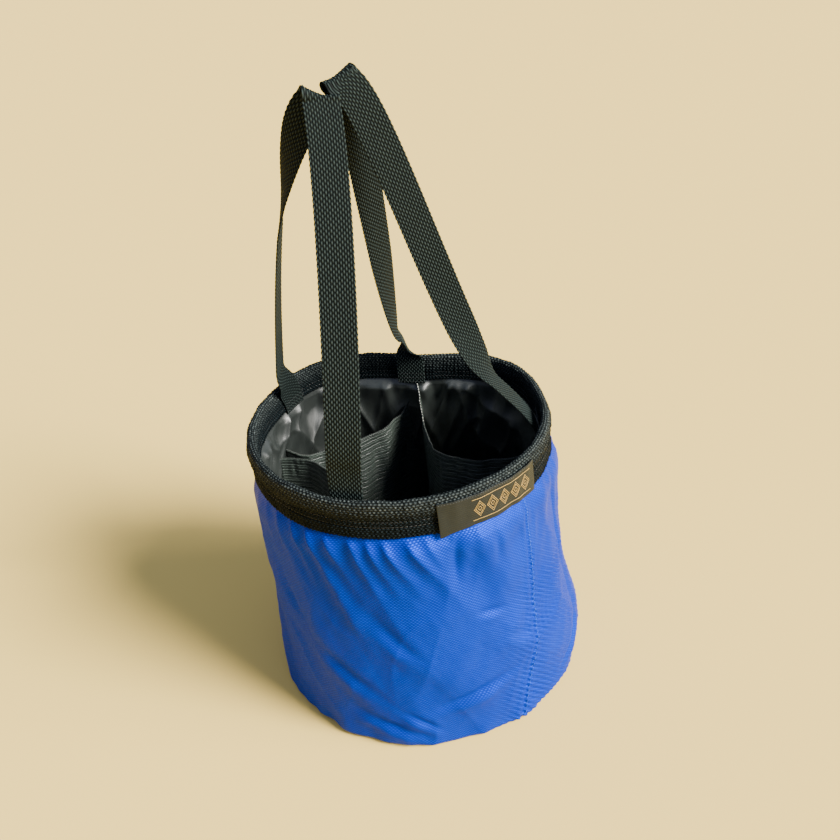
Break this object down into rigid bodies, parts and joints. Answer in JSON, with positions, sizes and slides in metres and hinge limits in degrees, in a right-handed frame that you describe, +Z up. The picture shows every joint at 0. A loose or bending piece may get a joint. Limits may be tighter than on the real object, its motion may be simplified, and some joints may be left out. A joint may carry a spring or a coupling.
{
  "type": "fabric bucket bag",
  "caption": "Round self-standing fabric bucket bag with a webbing-bound open top, two webbing handles sewn inside the rim, inside pockets and a flat base.",
  "frame": {"origin": "centre of the flat base, on the surface the bag stands on", "axes": "+Z up, -Y to the front, where the left handle's front end is, +X to the right handle"},
  "size_m": [0.2656, 0.2649, 0.5021],
  "materials": {
    "shell_nylon": "satin royal blue nylon weave",
    "lining_nylon": "shiny black nylon",
    "interlining": "soft felt",
    "board": "stiff sheet",
    "binding_webbing": "ribbed black webbing",
    "handle_webbing": "coarse black webbing",
    "pocket_cloth": "fine ribbed black cloth",
    "woven_label": "black satin with gold thread",
    "thread": "sewing thread",
    "black_thread": "sewing thread"
  },
  "bodies": {
    "root": {"base_panel": "shell_nylon", "base_board": "board", "floor_lining": "lining_nylon", "shell_wall": "shell_nylon", "wall_interlining": "interlining", "lining_wall": "lining_nylon", "rim_binding": "binding_webbing", "pocket_back_left": "pocket_cloth", "pocket_front_left": "pocket_cloth", "pocket_front": "pocket_cloth", "pocket_right": "pocket_cloth", "handle_left_root_front": "handle_webbing", "handle_left_root_back": "handle_webbing", "handle_right_root_front": "handle_webbing", "handle_right_root_back": "handle_webbing", "label": "woven_label"},
    "left_handle": {"handle_left_loop": "handle_webbing"},
    "right_handle": {"handle_right_loop": "handle_webbing"}
  },
  "joints": [
    {"name": "left_handle_swing", "type": "hinge", "parent": "root", "child": "left_handle", "pos_m": [-0.074, -0.0285, 0.255], "axis": [0.3505, -0.9366, 0], "range_deg": [0, 100], "deforming": ["handle_left_root_front", "handle_left_root_back"]},
    {"name": "right_handle_swing", "type": "hinge", "parent": "root", "child": "right_handle", "pos_m": [0.034, 0.0415, 0.255], "axis": [-0.604, 0.797, 0], "range_deg": [0, 98], "deforming": ["handle_right_root_front", "handle_right_root_back"]}
  ]
}
